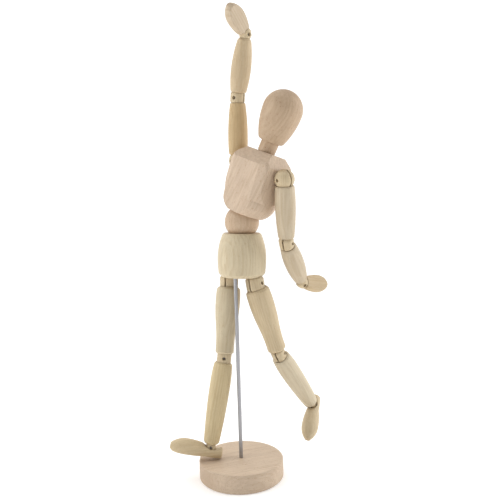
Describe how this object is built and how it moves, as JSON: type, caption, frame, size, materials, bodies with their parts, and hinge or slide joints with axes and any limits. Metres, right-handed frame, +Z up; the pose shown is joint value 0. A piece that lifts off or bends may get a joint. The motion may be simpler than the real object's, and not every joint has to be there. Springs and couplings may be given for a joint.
{
  "type": "artist mannequin",
  "caption": "Jointed wooden artist mannequin on a steel rod and round base, posed mid-stride with one arm raised.",
  "frame": {"origin": "centre of the round base's underside", "axes": "+Z up along the rod; -Y is the side of the base that carries no foot and faces the viewer; the figure faces 28 degrees from -Y towards -X"},
  "size_m": [0.1298, 0.0871, 0.3547],
  "materials": {
    "beech": "bare sanded hardwood, pinkish tan",
    "linden": "bare sanded pale wood",
    "steel": "satin drawn wire"
  },
  "bodies": {
    "base": {"base": "beech", "rod": "steel"},
    "pelvis": {"pelvis": "linden", "hip_springs": "steel"},
    "waist": {"waist": "beech"},
    "chest": {"chest": "beech", "shoulder_spring": "steel", "spine_spring": "steel", "neck_spring": "steel"},
    "neck": {"neck": "beech"},
    "head": {"head": "beech"},
    "shoulder_l": {"shoulder_ball_l": "linden", "shoulder_pin_l": "steel"},
    "upper_arm_l": {"upper_arm_l": "linden", "upper_arm_spring_l": "steel"},
    "elbow_l": {"elbow_piece_l": "linden", "elbow_pin_l": "steel"},
    "forearm_l": {"forearm_l": "linden", "forearm_spring_l": "steel"},
    "wrist_l": {"wrist_ball_l": "linden", "wrist_pin_l": "steel"},
    "hand_l": {"hand_l": "linden", "hand_loop_l": "steel"},
    "hip_l": {"hip_piece_l": "linden", "hip_pin_l": "steel"},
    "thigh_l": {"thigh_l": "linden", "thigh_spring_l": "steel"},
    "knee_l": {"knee_piece_l": "linden", "knee_pin_l": "steel"},
    "shin_l": {"shin_l": "linden", "shin_spring_l": "steel"},
    "ankle_l": {"ankle_piece_l": "linden", "ankle_pin_l": "steel"},
    "foot_l": {"foot_l": "linden", "foot_loop_l": "steel"},
    "shoulder_r": {"shoulder_ball_r": "linden", "shoulder_pin_r": "steel"},
    "upper_arm_r": {"upper_arm_r": "linden", "upper_arm_spring_r": "steel"},
    "elbow_r": {"elbow_piece_r": "linden", "elbow_pin_r": "steel"},
    "forearm_r": {"forearm_r": "linden", "forearm_spring_r": "steel"},
    "wrist_r": {"wrist_ball_r": "linden", "wrist_pin_r": "steel"},
    "hand_r": {"hand_r": "linden", "hand_loop_r": "steel"},
    "hip_r": {"hip_piece_r": "linden", "hip_pin_r": "steel"},
    "thigh_r": {"thigh_r": "linden", "thigh_spring_r": "steel"},
    "knee_r": {"knee_piece_r": "linden", "knee_pin_r": "steel"},
    "shin_r": {"shin_r": "linden", "shin_spring_r": "steel"},
    "ankle_r": {"ankle_piece_r": "linden", "ankle_pin_r": "steel"},
    "foot_r": {"foot_r": "linden", "foot_loop_r": "steel"}
  },
  "joints": [
    {"name": "figure_turn", "type": "hinge", "parent": "base", "child": "pelvis", "pos_m": [0, 0, 0], "axis": [0, 0, 1], "range_deg": [-170, 170]},
    {"name": "waist_turn", "type": "hinge", "parent": "pelvis", "child": "waist", "pos_m": [0.0063, 0.00865, 0.19687], "axis": [0.0308, -0.0164, 0.9994], "range_deg": [-40, 40], "deforming": ["spine_spring"]},
    {"name": "chest_lean", "type": "hinge", "parent": "waist", "child": "chest", "pos_m": [0.0063, 0.00865, 0.19687], "axis": [0.7658, 0.6429, -0.0131], "range_deg": [-30, 8], "deforming": ["spine_spring"]},
    {"name": "neck_turn", "type": "hinge", "parent": "chest", "child": "neck", "pos_m": [0.02803, 0.0026, 0.2528], "axis": [0.4509, -0.2132, 0.8667], "range_deg": [-70, 70], "deforming": ["neck_spring"]},
    {"name": "head_nod", "type": "hinge", "parent": "neck", "child": "head", "pos_m": [0.02803, 0.0026, 0.2528], "axis": [0.5432, -0.7049, -0.4561], "range_deg": [-12, 12], "deforming": ["neck_spring"]},
    {"name": "left_shoulder_swing", "type": "hinge", "parent": "chest", "child": "shoulder_l", "pos_m": [0.03824, -0.01565, 0.22744], "axis": [0.6071, -0.7296, -0.3149], "range_deg": [-10, 60], "deforming": ["shoulder_spring"]},
    {"name": "left_arm_spread", "type": "hinge", "parent": "shoulder_l", "child": "upper_arm_l", "pos_m": [0.03824, -0.01565, 0.22744], "axis": [-0.791, -0.5926, -0.1519], "range_deg": [-1, 60]},
    {"name": "left_elbow_turn", "type": "hinge", "parent": "upper_arm_l", "child": "elbow_l", "pos_m": [0.03921, -0.00491, 0.18047], "axis": [-0.0201, -0.223, 0.9746], "range_deg": [-90, 12], "deforming": ["upper_arm_spring_l"]},
    {"name": "left_elbow_bend", "type": "hinge", "parent": "elbow_l", "child": "forearm_l", "pos_m": [0.03921, -0.00491, 0.18047], "axis": [0.8451, -0.5246, -0.1026], "range_deg": [-45, 20]},
    {"name": "left_wrist_turn", "type": "hinge", "parent": "forearm_l", "child": "wrist_l", "pos_m": [0.05281, 0.02366, 0.14639], "axis": [-0.2924, -0.6143, 0.7329], "range_deg": [-90, 90], "deforming": ["forearm_spring_l"]},
    {"name": "left_wrist_bend", "type": "hinge", "parent": "wrist_l", "child": "hand_l", "pos_m": [0.05281, 0.02366, 0.14639], "axis": [0.4504, -0.7645, -0.4611], "range_deg": [-88, 4]},
    {"name": "left_leg_spread", "type": "hinge", "parent": "pelvis", "child": "hip_l", "pos_m": [0.01498, 0.00404, 0.1489], "axis": [-0.6292, -0.7772, 0.0067], "range_deg": [-2, 20], "deforming": ["hip_springs"]},
    {"name": "left_leg_swing", "type": "hinge", "parent": "hip_l", "child": "thigh_l", "pos_m": [0.01498, 0.00404, 0.1489], "axis": [-0.7672, 0.6197, -0.1657], "range_deg": [-20, 12]},
    {"name": "left_knee_turn", "type": "hinge", "parent": "thigh_l", "child": "knee_l", "pos_m": [0.03178, 0.0097, 0.09231], "axis": [-0.2832, -0.0955, 0.9543], "range_deg": [-40, 30], "deforming": ["thigh_spring_l"]},
    {"name": "left_knee_bend", "type": "hinge", "parent": "knee_l", "child": "shin_l", "pos_m": [0.03178, 0.0097, 0.09231], "axis": [0.8836, -0.4128, 0.2209], "range_deg": [-20, 16]},
    {"name": "left_ankle_turn", "type": "hinge", "parent": "shin_l", "child": "ankle_l", "pos_m": [0.06083, 0.04359, 0.03943], "axis": [-0.4198, -0.4897, 0.7642], "range_deg": [-40, 40], "deforming": ["shin_spring_l"]},
    {"name": "left_ankle_bend", "type": "hinge", "parent": "ankle_l", "child": "foot_l", "pos_m": [0.06083, 0.04359, 0.03943], "axis": [-0.867, 0.4654, -0.1781], "range_deg": [-25, 10]},
    {"name": "right_shoulder_swing", "type": "hinge", "parent": "chest", "child": "shoulder_r", "pos_m": [0.00485, 0.02447, 0.24476], "axis": [0.6071, -0.7296, -0.3149], "range_deg": [-15, 170], "deforming": ["shoulder_spring"]},
    {"name": "right_arm_spread", "type": "hinge", "parent": "shoulder_r", "child": "upper_arm_r", "pos_m": [0.00485, 0.02447, 0.24476], "axis": [-0.7838, -0.615, -0.0862], "range_deg": [-1.5, 60]},
    {"name": "right_elbow_turn", "type": "hinge", "parent": "upper_arm_r", "child": "elbow_r", "pos_m": [0.00598, 0.01638, 0.29226], "axis": [-0.0233, 0.1679, -0.9855], "range_deg": [-90, 60], "deforming": ["upper_arm_spring_r"]},
    {"name": "right_elbow_bend", "type": "hinge", "parent": "elbow_r", "child": "forearm_r", "pos_m": [0.00598, 0.01638, 0.29226], "axis": [-0.5391, -0.8323, -0.129], "range_deg": [-30, 28]},
    {"name": "right_wrist_turn", "type": "hinge", "parent": "forearm_r", "child": "wrist_r", "pos_m": [0.01317, 0.00483, 0.33673], "axis": [-0.1548, 0.2485, -0.9562], "range_deg": [-90, 90], "deforming": ["forearm_spring_r"]},
    {"name": "right_wrist_bend", "type": "hinge", "parent": "wrist_r", "child": "hand_r", "pos_m": [0.01317, 0.00483, 0.33673], "axis": [0.6602, -0.694, -0.2872], "range_deg": [-90, 2]},
    {"name": "right_leg_spread", "type": "hinge", "parent": "pelvis", "child": "hip_r", "pos_m": [-0.00531, 0.01483, 0.1497], "axis": [0.4068, 0.9135, 0.0024], "range_deg": [0, 20], "deforming": ["hip_springs"]},
    {"name": "right_leg_swing", "type": "hinge", "parent": "hip_r", "child": "thigh_r", "pos_m": [-0.00531, 0.01483, 0.1497], "axis": [-0.913, 0.4065, 0.0348], "range_deg": [0, 40]},
    {"name": "right_knee_turn", "type": "hinge", "parent": "thigh_r", "child": "knee_r", "pos_m": [-0.01089, 0.00732, 0.09115], "axis": [0.0941, 0.1267, 0.9875], "range_deg": [-30, 30], "deforming": ["thigh_spring_r"]},
    {"name": "right_knee_bend", "type": "hinge", "parent": "knee_r", "child": "shin_r", "pos_m": [-0.01089, 0.00732, 0.09115], "axis": [-0.0087, 0.9919, -0.1265], "range_deg": [0, 25]},
    {"name": "right_ankle_turn", "type": "hinge", "parent": "shin_r", "child": "ankle_r", "pos_m": [-0.02338, -0.0014, 0.02364], "axis": [0.1805, 0.126, 0.9755], "range_deg": [-30, 30], "deforming": ["shin_spring_r"]},
    {"name": "right_ankle_bend", "type": "hinge", "parent": "ankle_r", "child": "foot_r", "pos_m": [-0.02338, -0.0014, 0.02364], "axis": [0.1115, -0.988, 0.1069], "range_deg": [0, 12]}
  ]
}
